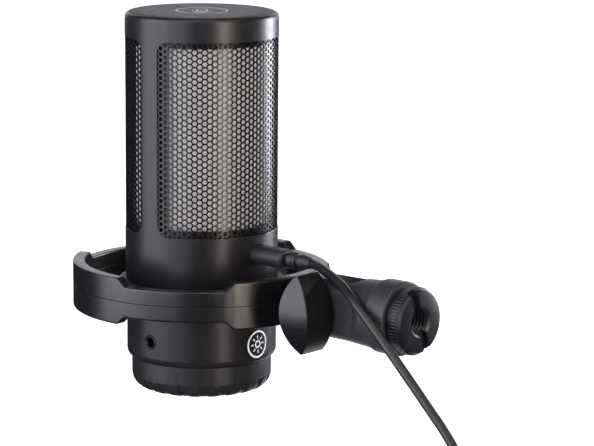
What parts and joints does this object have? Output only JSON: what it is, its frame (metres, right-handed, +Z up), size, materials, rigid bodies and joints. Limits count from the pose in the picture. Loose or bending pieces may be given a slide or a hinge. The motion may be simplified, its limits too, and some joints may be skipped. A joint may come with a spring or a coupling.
{
  "type": "condenser microphone",
  "caption": "Cylindrical side-address condenser microphone with hex grille windows, in an elastic ring shock mount on a tilting threaded stem, with its lead plugged in.",
  "frame": {"origin": "centre of the mouth of the stand thread in the thread adapter", "axes": "+X out of the stand thread, away from the microphone; +Z up along the microphone's own axis; -Y towards the clamp knob and the headphone jack"},
  "size_m": [0.2704, 0.1471, 0.2118],
  "materials": {
    "shell_black": "satin powder-fine paint",
    "touch_disc": "matte, very fine texture",
    "knob_black": "satin moulded",
    "grille_black": "semi-gloss black perforated steel",
    "gauze_silver": "fine woven wire",
    "ring_plastic": "satin moulded",
    "stem_plastic": "satin moulded, fine texture",
    "wing_grey": "satin moulded",
    "collar_plastic": "moulded",
    "button_black": "gloss moulded with printed symbol",
    "adapter_black": "black oxide over brass",
    "screw_steel": "zinc plated",
    "rubber_black": "matte",
    "elastic_black": "braided elastic",
    "washer_nylon": "black nylon",
    "brass": "turned",
    "gold_film": "gold sputtered film",
    "bracket_steel": "folded sheet",
    "board_green": "solder resist",
    "socket_metal": "stamped and plated",
    "jack_black": "moulded",
    "light_diffuser": "translucent",
    "plug_black": "soft satin overmould",
    "lead_black": "smooth PVC jacket",
    "tie_black": "hook-and-loop tape"
  },
  "bodies": {
    "stem_group": {"stem": "stem_plastic", "friction_washers": "washer_nylon", "clamp_nut": "screw_steel", "thread_insert": "brass", "thread_adapter": "adapter_black", "lead_tube": "lead_black", "lead_coil": "lead_black", "lead_tail": "lead_black", "coil_tie": "tie_black", "usb_a_grip": "plug_black", "usb_a_shell": "socket_metal"},
    "mount_ring": {"ring_upper": "ring_plastic", "ring_lower": "ring_plastic", "ring_screws": "screw_steel", "cord_posts": "screw_steel", "hinge_tongue": "ring_plastic", "tongue_screws": "screw_steel"},
    "microphone": {"upper_shell": "shell_black", "touch_plate": "touch_disc", "touch_board": "board_green", "front_grille": "grille_black", "rear_grille": "grille_black", "gauze_liner": "gauze_silver", "inner_frame": "collar_plastic", "capsule_housing": "brass", "capsule_backplate": "brass", "capsule_diaphragm": "gold_film", "capsule_saddle": "rubber_black", "capsule_bracket": "bracket_steel", "capsule_board": "board_green", "light_guide": "light_diffuser", "main_board": "board_green", "usb_socket": "socket_metal", "board_spacers": "brass", "control_board": "board_green", "headphone_socket": "jack_black", "light_switch": "jack_black", "gain_control": "socket_metal", "gain_nut": "screw_steel", "lower_shell": "shell_black", "suspension_collar": "collar_plastic", "grip_sleeve": "rubber_black", "collar_screws": "screw_steel", "elastic_cords": "elastic_black", "usb_plug_shell": "socket_metal", "usb_plug_grip": "plug_black", "usb_plug_boot": "rubber_black"},
    "clamp_knob": {"wing_knob": "wing_grey", "clamp_bolt": "screw_steel"},
    "gain_dial": {"gain_knob": "knob_black", "gain_shaft": "socket_metal"},
    "light_key": {"light_button": "button_black"}
  },
  "joints": [
    {"name": "tilt", "type": "hinge", "parent": "stem_group", "child": "mount_ring", "pos_m": [-0.0405, 0, 0], "axis": [0, 1, 0], "range_deg": [-40, 20], "deforming": ["lead_tube"]},
    {"name": "suspension", "type": "slide", "parent": "mount_ring", "child": "microphone", "axis": [0, 0, 1], "range_m": [-0.0015, 0.0015], "stiffness_N_per_m": 1500, "springref_m": 0.00273, "deforming": ["elastic_cords", "usb_plug_boot"]},
    {"name": "clamp_turn", "type": "hinge", "parent": "stem_group", "child": "clamp_knob", "pos_m": [-0.0405, 0, 0], "axis": [0, -1, 0], "range_deg": [0, 180]},
    {"name": "gain_turn", "type": "hinge", "parent": "microphone", "child": "gain_dial", "pos_m": [-0.11, 0, -0.035], "axis": [0, 0, 1], "range_deg": [-140, 140]},
    {"name": "light_press", "type": "slide", "parent": "microphone", "child": "light_key", "axis": [-1, 0, 0], "range_m": [0, 0.0008], "stiffness_N_per_m": 900}
  ]
}
